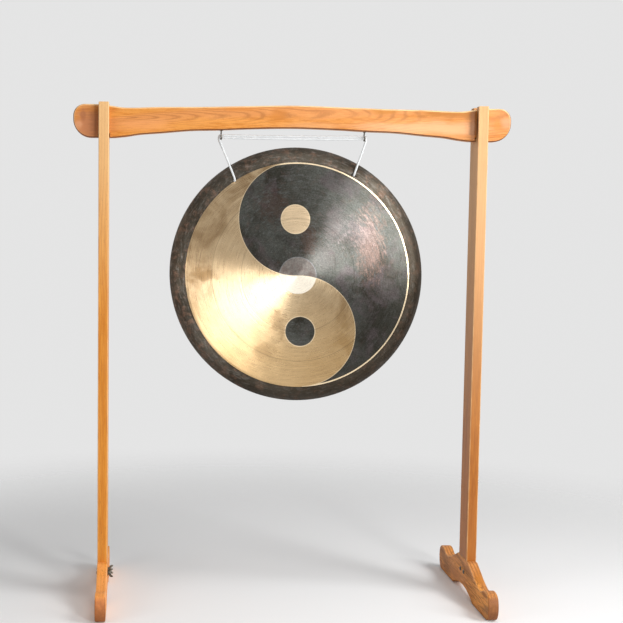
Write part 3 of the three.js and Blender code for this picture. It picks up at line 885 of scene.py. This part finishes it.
gong = {
    "wall": 0.0026,
    "dome": 0.006,
    "grooveWidth": 0.009, "grooveDepth": 0.0012,
    "grooveEdge": (0.0006, -0.0004),
    "grooveFloor": 0.2,       # share of its width where the depth is reached
    "rimDepth": 0.052,
    "shoulderDepth": 0.02, "shoulderInset": 0.009,
    "shoulderStart": 0.3,     # share of its depth halfway to it
    "rimTuck": 0.003,
    "holeRadius": 0.0043, "drillHalf": 0.02,
    "sides": 192,
    "faceSteps": 44, "bandSteps": 6, "lipSteps": 6,
    "ringGrooves": [0.058, 0.179, 0.272],
    "ringHalf": 0.0009, "ringSink": 0.0001,
    "beat": 0.0005,           # how far the beaten wall waves
    "beats": [(9, 0.3, 0.7), (26, 7.1, 0.3)],   # (scale, seed, share)
    "beatMargin": 0.012,      # of the rim, which stays true
    "beatFade": 0.02,
    "outOfRound": 0.0075,
}
gongFace = {
    "lobe": 0.1772,           # radius of the two half-size circles of the divided face
    "dot": 0.0464,
    "boss": 0.058,
    "edgeLine": 0.0043,
    "soft": 0.0006,
    # widths of the drawn and the scored lines
    "upperDotLine": 0.003, "lowerDotLine": 0.0036, "lobeLine": 0.0026, "bossLine": 0.0022,
    "scoredLine": 0.0012,
    "brass": (190, 165, 130), "brassDeep": (150, 124, 92),
    "brassPale": (212, 188, 152), "gold": (190, 153, 100),
    "dotBrass": (226, 200, 164), "edge": (244, 222, 186), "smudge": (128, 98, 62),
    "dark": (84, 85, 80), "darkDeep": (52, 49, 42),
    "darkPale": (134, 135, 136), "sheenPale": (126, 117, 117),
    "brownDark": (84, 60, 52), "rust": (112, 84, 76), "violet": (96, 86, 88), "blush": (128, 106, 98),
    # the pale boss tone is the boss's own finish, partly a painted highlight
    "bossPale": (236, 227, 210), "bossDark": (126, 119, 113),
    # patches: (centre, half size, tone, share)
    "smudges": [
        ((-0.3, 0.012, 0), (0.052, 0.026, 0), "smudge", 0.65),
        ((-0.068, -0.15, 0), (0.026, 0.05, 0), "smudge", 0.45),
        ((-0.115, -0.235, 0), (0.03, 0.03, 0), "smudge", 0.35),
    ],
    "flush": [((0.232, 0.09, 0), (0.045, 0.11, 0), "blush", 0.55)],
    "spots": [
        # the three sheenPale rows are a painted highlight on the dark half, beside the boss and along the fan
        ((0.09, 0.055, 0), (0.045, 0.045, 0), "sheenPale", 0.2),
        ((0.125, 0.15, 0), (0.04, 0.06, 0), "sheenPale", 0.35),
        ((0.193, 0.126, 0), (0.05, 0.05, 0), "sheenPale", 0.3),
        ((0.04, 0.115, 0), (0.026, 0.055, 0), "brownDark", 0.4),
        ((-0.07, 0.225, 0), (0.05, 0.055, 0), "brownDark", 0.35),
    ],
    "brassRoughness": (0.25, 0.33), "darkRoughness": (0.3, 0.4), "bossRoughness": 0.5,
    "metallic": 1, "anisotropy": 1,
}
gongRim = {
    "pale": (83, 77, 68), "deep": (58, 52, 43),
    "rust": (128, 100, 84), "strokes": (138, 133, 127), "shade": (44, 36, 26),
    "roughness": (0.34, 0.5), "metallic": 0.9, "anisotropy": 0.8,
}
gongBack = {
    "pale": (82, 74, 60), "deep": (50, 45, 38),
    "rust": (122, 94, 66), "scraped": (156, 128, 88),
    "scrapedTo": (0.3, 0.352),
    "roughness": (0.36, 0.54), "metallic": 0.6, "anisotropy": 0.6,
}
acrossTheMarks = 0.25         # a quarter turn: highlights stretch across the turning marks


def bandAt(value, middle, width):
    # 1 on a ring of that width, 0 elsewhere
    return invert(fade(calc("ABSOLUTE", minus(value, middle)), width * 0.4, width), clamp=True)


def gongMaterial(name, m, look):
    # look gives colour, roughness, metallic and normal
    material, shader, where = newMaterial(name)
    # coordinates of the dish as if it were quite round
    x, y = axesOf(where["Object"])[:2]
    place = vectorMath("ADD", scaled(joined(y, x, 0), (gong["outOfRound"],) * 3), where["Object"])
    flat = scaled(place, (1, 1, 0))
    radius = vectorMath("LENGTH", flat)
    marks = outputsOf("Group", {"Vector": place, "Radius": radius}, node_tree=turnedMarks)
    x, up = axesOf(place)[:2]
    results = look(m, x, up, flat, radius, marks)
    feed(shader, {
        **dict(zip(("Base Color", "Roughness", "Metallic", "Normal"), results)),
        "Anisotropic": m["anisotropy"], "Anisotropic Rotation": acrossTheMarks,
        "Tangent": addNode(shader.id_data, "Tangent", direction_type="RADIAL", axis="Z").outputs[0],
    })
    return material


def faceLook(m, x, up, flat, radius, marks):
    soft, lobe, dot = m["soft"], m["lobe"], m["dot"]

    def past(distance, reach):
        return fade(distance, reach - soft, reach + soft)

    upper, lower = (vectorMath("DISTANCE", flat, (0, y, 0)) for y in (lobe, -lobe))
    rightHalf = past(x, 0)
    upperDot, lowerDot, boss = (
        invert(past(distance, reach))
        for distance, reach in ((upper, dot), (lower, dot), (radius, m["boss"]))
    )
    dark = times(larger(rightHalf, invert(past(upper, lobe))), past(lower, lobe))
    dark = larger(times(dark, invert(upperDot)), lowerDot)
    # the dark half stops short of the edge, where a line of bare metal is left
    edge = past(radius, gongPlace["radius"] - gongPlace["bandWidth"] - m["edgeLine"])
    edgeLine = times(edge, dark)
    dark = times(dark, invert(edge), clamp=True)
    dotLines = larger(bandAt(upper, dot, m["upperDotLine"]), bandAt(lower, dot, m["lowerDotLine"]))
    leftWave = times(bandAt(upper, lobe, m["lobeLine"]), invert(rightHalf))
    wave = larger(leftWave, times(bandAt(lower, lobe, m["lobeLine"]), rightHalf))
    drawn = larger(dotLines, times(wave, 0.8))

    # brass side: paler where it is turned clean; browner at the upper left and the lower right, painted shade
    # beside the highlight
    clouds = fade(marks["Clouds"], 0.36, 0.68)
    down = times(up, -1)
    outer = fade(radius, 0.262, 0.282)
    highLeft = times(fade(minus(up, x), 0.02, 0.34), plus(0.2, times(outer, 0.45)))
    lowRight = times(fade(x, 0.03, 0.13), fade(down, -0.02, 0.04))
    besideFanShade = plus(highLeft, times(lowRight, 0.7))
    cloudy = plus(0.5, fade(marks["Tint"], 0.34, 0.66))
    brass = layered(mix(clouds, m["brassPale"], m["brass"]), m, [
        (times(besideFanShade, cloudy, clamp=True), "brassDeep"),
        (times(fade(down, 0.02, 0.28), 0.6), "gold"),
        # the boss's own finish on the brass side, painted near-white for its even reflection of the light
        (times(boss, 0.95), "bossPale"),
        (times(upperDot, 0.85), "dotBrass"),
        (larger(edgeLine, times(drawn, 0.8)), "edge"),
        *patched(flat, marks["Mottle"], m["smudges"], 3),
    ])
    # dark side: black oxide with brown and grey clouds
    black = layered(mix(clouds, m["dark"], m["darkDeep"]), m, [
        (times(fade(marks["Mottle"], 0.52, 0.74), 0.25), "rust"),
        (times(fade(marks["Strokes"], 0.46, 0.8), 0.3), "darkPale"),
        # painted shade on the lower right of the dark half, away from the highlight
        (times(fade(minus(x, up), 0.2, 0.45), 0.5), "darkDeep"),
        (times(fade(marks["Tint"], 0.5, 0.68), 0.5), "violet"),
        *patched(flat, marks["Strokes"], m["flush"], 3.2),
        *patched(flat, marks["Strokes"], m["spots"], 3),
        (times(boss, 0.9), "bossDark"),
        (times(times(boss, fade(marks["Mottle"], 0.44, 0.66)), 0.45), "brownDark"),
        (times(bandAt(radius, m["boss"], m["bossLine"]), 0.55), "darkPale"),
    ])
    gritty = times(minus(marks["Grit"], 0.5), spread(dark, 0, 1, 0.35, 1.6))
    value = plus(spread(minus(marks["Marks"], 0.5), -0.25, 0.25, 0.82, 1.18), gritty)
    lined = brightened(mix(dark, brass, black), value)
    scored = larger(*(bandAt(radius, groove, m["scoredLine"]) for groove in gong["ringGrooves"][1:]))
    rough = mixValues(
        dark, spread(marks["Marks"], 0.3, 0.7, *m["brassRoughness"]),
        spread(marks["Strokes"], 0.3, 0.7, *m["darkRoughness"]),
    )
    return (
        mix(times(scored, 0.35), lined, m["darkDeep"]),
        mixValues(boss, rough, m["bossRoughness"]),
        minus(m["metallic"], times(boss, spread(dark, 0, 1, 0.75, 0.5))),
        bumpFrom(plus(marks["Marks"], times(marks["Clouds"], 0.8)), 0.25, 0.0004),
    )


def rimLook(m, x, up, flat, radius, marks):
    base = layered(mix(fade(marks["Clouds"], 0.36, 0.66), m["pale"], m["deep"]), m, [
        (times(fade(marks["Mottle"], 0.48, 0.7), 0.6), "rust"),
        (times(fade(marks["Strokes"], 0.48, 0.72), 0.4), "strokes"),
        (times(fade(minus(x, up), -0.1, 0.36), 0.6), "shade"),
    ])
    gritty = brightened(base, spread(marks["Grit"], 0.2, 0.8, 0.6, 1.4))
    rough = spread(marks["Mottle"], 0.3, 0.7, *m["roughness"])
    return gritty, rough, m["metallic"], bumpFrom(marks["Mottle"], 0.4, 0.0006)


def backLook(m, x, up, flat, radius, marks):
    scraped = times(fade(marks["Marks"], 0.5, 0.66), invert(fade(radius, *m["scrapedTo"])))
    base = layered(mix(fade(marks["Clouds"], 0.34, 0.66), m["pale"], m["deep"]), m, [
        (times(fade(marks["Mottle"], 0.5, 0.72), 0.55), "rust"),
        (times(scraped, 0.55), "scraped"),
    ])
    rough = spread(marks["Marks"], 0.3, 0.7, *m["roughness"])
    return base, rough, m["metallic"], bumpFrom(marks["Marks"], 0.4, 0.0004)


def gongProfile(g):
    # (radius, height) from the middle of the face to the rim, and back along the inner side
    outerRadius = gongPlace["radius"]
    disc = outerRadius - gongPlace["bandWidth"]
    radii = spaced(0, disc, g["faceSteps"])
    for groove in g["ringGrooves"]:
        radii += [groove - g["ringHalf"], groove, groove + g["ringHalf"]]
    front = []
    for r in sorted(radii):
        sink = g["ringSink"] if r in g["ringGrooves"] else 0
        front.append((r, g["dome"] * (1 - (r / disc) ** 2) - sink))
    edgeOut, edgeDrop = g["grooveEdge"]
    groove = disc + g["grooveWidth"]
    shoulder = outerRadius - g["shoulderInset"]
    band = smoothPairs([
        (groove, -g["grooveDepth"]),
        ((groove + shoulder) / 2, -g["shoulderDepth"] * g["shoulderStart"]),
        (shoulder, -g["shoulderDepth"]),
        (outerRadius, -(g["shoulderDepth"] + g["rimDepth"]) / 2),
        (outerRadius - g["rimTuck"], -g["rimDepth"] + g["wall"] * 0.5),
    ], g["bandSteps"])
    line = front + [
        (disc + edgeOut, edgeDrop), (disc + g["grooveWidth"] * g["grooveFloor"], -g["grooveDepth"]),
    ] + band
    inner = []
    for before, (r, h), after in zip(line[:1] + line, line, line[1:] + line[-1:]):
        inward = sideways(after, before) * g["wall"]
        inner.append((max(0, r + inward.x), h + inward.y))
    inner[0] = (0, inner[0][1])
    # the rim's lip is a half round
    start, end = Vector(line[-1]), Vector(inner[-1])
    half = (start - end) / 2
    outward = Vector((half.y, -half.x))
    lip = [
        tuple((start + end) / 2 + half * cos(angle) + outward * sin(angle))
        for angle in spaced(0, pi, g["lipSteps"])[1:-1]
    ]
    return line + lip + inner[::-1], len(front) - 1, len(line) + len(lip) // 2


def makeGong(g):
    profile, faceRings, rimRings = gongProfile(g)

    def beaten(shell):
        latheInto(shell, profile, g["sides"], slotAt=lambda index: (index >= faceRings) + (index >= rimRings))
        # beaten by hand: the wall waves a little, face and back together
        for vert in shell.verts:
            x, y, z = vert.co
            wave = sum(noise.noise(Vector((x, y, seed)) * scale) * share for scale, seed, share in g["beats"])
            margin = gongPlace["radius"] - g["beatMargin"] - hypot(x, y)
            vert.co.z += wave * g["beat"] * min(1, max(0, margin / g["beatFade"]))

    mesh = meshFrom("gong", beaten, smoothAngle=50)
    for part, looks, look in (
        ("gongFace", gongFace, faceLook), ("gongRim", gongRim, rimLook), ("gongBack", gongBack, backLook),
    ):
        mesh.materials.append(gongMaterial(part, looks, look))
    oval = Matrix(((1, -g["outOfRound"], 0), (-g["outOfRound"], 1, 0), (0, 0, 1)))
    drills = []
    for side in (-1, 1):
        drill = drillMesh(g["holeRadius"], -g["drillHalf"], g["drillHalf"], 24)
        drill.transform(Matrix.Translation(oval.inverted() @ gongHole(gongPlace, side, 0)))
        drills.append(drill)
    drilled = combine(mesh, drills, "DIFFERENCE")
    drilled.name = "gongDish"
    drilled.transform(oval.to_4x4())
    addPiece("gongDish", drilled, [], "gong", "gong", gongFrame(gongPlace))
    print("gong made:", len(drilled.polygons), "faces")


makeGong(gong)


# Plated steel with handling marks
def makeHandledGroup():
    tree, given, end = newGroup(
        "handledMetal", {"Vector": "Vector", "Clean": "Color", "Dull": "Color", "Scale": "Float"},
        {"Color": "Color", "Roughness": "Float", "Height": "Float"},
    )
    smear = noiseAt(given["Vector"], given["Scale"], 4, 0.6)
    feed(end, {
        "Color": mix(fade(smear, 0.38, 0.66), given["Clean"], given["Dull"]),
        "Roughness": spread(smear, 0.3, 0.7, 0.26, 0.5),
        "Height": noiseAt(given["Vector"], times(given["Scale"], 9), 2),
    })
    return tree


handledMetal = makeHandledGroup()
metals = {
    "darkSteel": {"Clean": (118, 112, 104), "Dull": (70, 66, 60), "Scale": 160},
    "zincPlate": {"Clean": (112, 106, 96), "Dull": (56, 51, 44), "Scale": 160},
}


def metalMaterial(name):
    material, shader, where = newMaterial(name)
    marks = outputsOf("Group", {"Vector": where["Object"], **metals[name]}, node_tree=handledMetal)
    feed(shader, {
        "Base Color": marks["Color"],
        "Roughness": marks["Roughness"],
        "Metallic": 1,
        "Normal": bumpFrom(marks["Height"], 0.15, 0.0002),
    })
    return material


steel = metalMaterial("darkSteel")
zinc = metalMaterial("zincPlate")


# Hooks: bent wire with a collar against the wood and a ball on the tip
hook = {
    "wire": 0.0044,
    "bowlRadius": 0.009,
    "seat": 1.477559,
    "screwLength": 0.026,
    "tipBall": 0.003, "ballSteps": 12,
    "collarRadius": 0.0055, "collarHeight": 0.0024,
    "collarShares": [         # of its radius, and of its height from the top
        (0.82, 0.45), (1, 0.2), (1, 0), (0, 0),
    ],
    "neckShares": (0.25, 0.33),
    "bowlStart": 38, "bowlEnd": -195, "bowlBends": 9,
}


def makeHooks(h):
    collarTop = h["seat"] - shared["gap"]
    collarBottom = collarTop - h["collarHeight"]
    bowlCentre = shared["bowlHeight"] + h["bowlRadius"]
    back, down = h["neckShares"]
    points = [(0, 0, h["seat"] + h["screwLength"] * share) for share in (1, 0.5, 0)]
    neck = collarBottom + (bowlCentre - collarBottom) * down
    points += [(0, 0, collarBottom), (0, h["bowlRadius"] * back, neck)]
    for angle in spaced(radians(h["bowlStart"]), radians(h["bowlEnd"]), h["bowlBends"]):
        points.append((0, h["bowlRadius"] * cos(angle), bowlCentre + h["bowlRadius"] * sin(angle)))
    wire = meshFrom("wire", tubeInto, smoothLine(points, 6), lambda index, angle: h["wire"] / 2, 20)
    profile = [(h["tipBall"] * sin(a), -h["tipBall"] * cos(a)) for a in spaced(0, pi, h["ballSteps"])]
    ball = meshFrom("ball", latheInto, profile, 24)
    ball.transform(Matrix.Translation(Vector(points[-1])))
    profile = [(0, collarBottom), (h["wire"] / 2 + shared["gap"], collarBottom)]
    profile += [(h["collarRadius"] * a, collarTop - h["collarHeight"] * b) for a, b in h["collarShares"]]
    collar = meshFrom("collar", latheInto, profile, 32)
    for side, word in ((-1, "left"), (1, "right")):
        mesh = combine(wire.copy(), [ball.copy(), collar.copy()], "UNION")
        mesh.transform(Matrix.Translation((side * shared["hookX"], 0, 0)))
        mesh.set_sharp_from_angle(angle=radians(40))
        addPiece(word + "ScrewHook", mesh, [steel], "crossbar", word + "_hook")
    print("hooks made")


makeHooks(hook)


# Fasteners that clamp the feet: bolt heads on the left of each foot, wing nuts on the right
fastener = {
    "height": 0.074, "spacing": 0.039,
    "bolt": 0.006, "pitch": 0.001, "threadSides": 20, "ringsPerPitch": 6,
    "headDiameter": 0.014, "headHeight": 0.0036,
    "headShares": [
        (0, 0), (1, 0), (1, 0.14), (0.95, 0.42), (0.82, 0.68), (0.6, 0.86), (0.32, 0.97), (0, 1),
    ],
    "pastNut": 0.003,
    "washer": 0.018, "washerThickness": 0.0016, "washerEdge": 0.0003,
    "hubBase": 0.0062, "hubTop": 0.005, "hubHeight": 0.008, "hubChamfer": 0.0004, "hubBevel": 0.0005,
    "bore": (0.0031, -0.005, 0.02),   # radius, start and end
    "wingSpan": 0.028, "wingHeight": 0.015, "wingThickness": 0.0026, "wingArris": 0.0007,
    # where the wings start inside the hub, as shares of its top radius and its height
    "wingRoot": 0.7, "wingFoot": 0.12, "wingHead": 0.9,
    "wingShares": [(0.25, 0.75), (0.45, 1), (0.8, 1), (1.08, 1), (1.06, 0.66), (0.86, 0.58)],
    "wingSteps": 10,
    "turns": [82, 68, 100, 75],
}


def boltMesh(f):
    # local Z runs from the head's underside towards the nut; the thread is a true helix
    length = foot["thickness"] + 3 * shared["gap"] + f["washerThickness"] + f["hubHeight"] + f["pastNut"]
    depth = f["pitch"] * 0.5
    rings = round(length / f["pitch"] * f["ringsPerPitch"])

    def threadAt(index, angle):
        phase = (index / f["ringsPerPitch"] - angle / tau) % 1
        taper = min(1, (rings - index) / f["ringsPerPitch"])
        return f["bolt"] / 2 - depth * (1 - abs(phase * 2 - 1)) - depth * (1 - taper)

    line = [Vector((0, 0, z)) for z in spaced(0, length, rings)]
    shank = meshFrom("shank", tubeInto, line, threadAt, f["threadSides"], smoothAngle=30)
    dome = [(r * f["headDiameter"] / 2, -h * f["headHeight"]) for r, h in f["headShares"]]
    return combine(shank, [meshFrom("head", latheInto, dome, 36)], "UNION")


def washerMesh(f):
    inner, outer, half = f["bolt"] / 2 + shared["gap"], f["washer"] / 2, f["washerThickness"] / 2
    edge = f["washerEdge"]
    under = [(inner, -half + edge), (inner + edge, -half), (outer - edge, -half), (outer, -half + edge)]
    ring = under + [(radius, -height) for radius, height in under[::-1]]
    return meshFrom("washer", latheInto, ring, 40, closed=True, smoothAngle=50)


def wingNutMesh(f):
    top, bevel = f["hubHeight"], f["hubBevel"]
    hub = meshFrom("hub", latheInto, [
        (0, 0), (f["hubBase"] - f["hubChamfer"], 0), (f["hubBase"], f["hubChamfer"]),
        (f["hubTop"], top - bevel), (f["hubTop"] - bevel, top), (0, top),
    ], 36)
    reach = f["wingSpan"] / 2
    height = f["wingHeight"]
    rise, flare, side, tip, fold, neck = (Vector((reach * b, height * a)) for a, b in f["wingShares"])
    root = f["hubTop"] * f["wingRoot"]
    outline = [Vector((root, top * f["wingFoot"])), Vector((f["hubBase"], top * f["wingFoot"]))]
    for curve in ((rise, flare, side), (tip, fold, neck)):
        outline += bendLine(outline[-1], *curve, f["wingSteps"])
    outline.append(Vector((root, top * f["wingHead"])))
    blade = meshFrom("blade", plankInto, [tuple(p) for p in outline], f["wingThickness"], f["wingArris"], 2)
    blade.transform(frontward)
    twin = blade.copy()
    twin.transform(spun(180, "Z"))
    return combine(combine(hub, [blade, twin], "UNION"), [drillMesh(*f["bore"], 28)], "DIFFERENCE")


def makeFasteners(f):
    bolt, washer, nut = boltMesh(f), washerMesh(f), wingNutMesh(f)
    half, thick, gap = foot["thickness"] / 2, f["washerThickness"], shared["gap"]
    turns = iter(f["turns"])
    for side, word in ((-1, "left"), (1, "right")):
        for end, name in ((-1, "front"), (1, "rear")):
            nutKey = f"{word}_wing_nut_{name}"
            for key, mesh, metal, body, slot, x, turn in (
                (f"{word}_foot_bolt_{name}", bolt, steel, "frame", "steel", -half - gap, 0),
                (f"{word}_foot_washer_{name}", washer, zinc, "frame", "zinc", half + gap + thick / 2, 0),
                (nutKey, nut, zinc, nutKey, "zinc", half + 2 * gap + thick, next(turns)),
            ):
                centre = (side * shared["postX"] + x, end * f["spacing"] / 2, f["height"])
                place = Matrix.Translation(centre) @ spun(turn, "X") @ rightward
                addPiece(key + "_piece", mesh.copy(), [metal], body, key, place)
    print("fasteners made")


makeFasteners(fastener)


# Floor, backdrop and light
studio = {
    "floorRadius": 6, "floorDrop": 0.0005,
    "floorColour": (0.9, 0.9, 0.9, 1), "floorClouds": (0.84, 0.84, 0.85, 1),   # linear
    "fadeStart": 0.9, "fadeEnd": 2.6,
    "background": 0.78, "ambient": 0.28,
    "lamps": [                # (name, place, aim, size, roll, power)
        ("key", (2.5, -1.85, 1.7), (0.02, 0, 1.03), (0.5, 1.8), 30, 34),
        ("window", (1.27, -3.37, 1.31), (0.02, 0, 1.03), (0.5, 0.96), 30, 55),
        ("side", (2.2, -1.1, 2.7), (0.1, 0, 0.8), (1.3, 1), 0, 40),
        ("top", (0.4, -0.5, 3.4), (0.1, 0, 0.3), (1.4, 1), 0, 16),
        ("low", (-2.4, -1.9, 0.9), (0.1, 0, 0.35), (1.2, 0.8), 0, 17),
    ],
}


def makeFloor(s):
    shell = bmesh.new()
    bmesh.ops.create_circle(shell, cap_ends=True, segments=96, radius=s["floorRadius"])
    mesh = bpy.data.meshes.new("floor")
    shell.to_mesh(mesh)
    shell.free()
    material, shader, where = newMaterial("paleFloor")
    place = where["Object"]
    feed(shader, {
        "Base Color": mix(times(noiseAt(place, 3), 0.15), s["floorColour"], s["floorClouds"]),
        "Roughness": 0.6,
    })
    # the floor fades out into the backdrop
    tree = material.node_tree
    clear = addNode(tree, "BsdfTransparent").outputs[0]
    away = fade(vectorMath("LENGTH", place), s["fadeStart"], s["fadeEnd"])
    surface = outputOf("MixShader", {0: away, 1: shader.outputs[0], 2: clear})
    feed(tree.nodes["Material Output"], {"Surface": surface})
    mesh.materials.append(material)
    newObject("floor", mesh, Matrix.Translation((0, 0, -s["floorDrop"])))


def makeLight(s):
    scene.world = bpy.data.worlds.new("studio")
    scene.world.use_nodes = True
    tree = scene.world.node_tree
    path = addNode(tree, "LightPath").outputs
    seen = larger(larger(path["Is Camera Ray"], path["Is Glossy Ray"]), path["Is Transmission Ray"])
    feed(tree.nodes["Background"], {
        "Color": (1, 1, 1, 1), "Strength": mixValues(seen, s["ambient"], s["background"]),
    })
    for name, place, target, size, roll, power in s["lamps"]:
        data = bpy.data.lights.new(name, "AREA")
        data.shape = "RECTANGLE"
        data.size, data.size_y = size
        data.energy = power
        aim = (Vector(target) - Vector(place)).to_track_quat("-Z", "Y").to_matrix().to_4x4()
        newObject(name, data, Matrix.Translation(place) @ aim @ spun(roll, "Z")).visible_camera = False
    scene.view_settings.view_transform = "Standard"


makeFloor(studio)
makeLight(studio)
print("studio made")
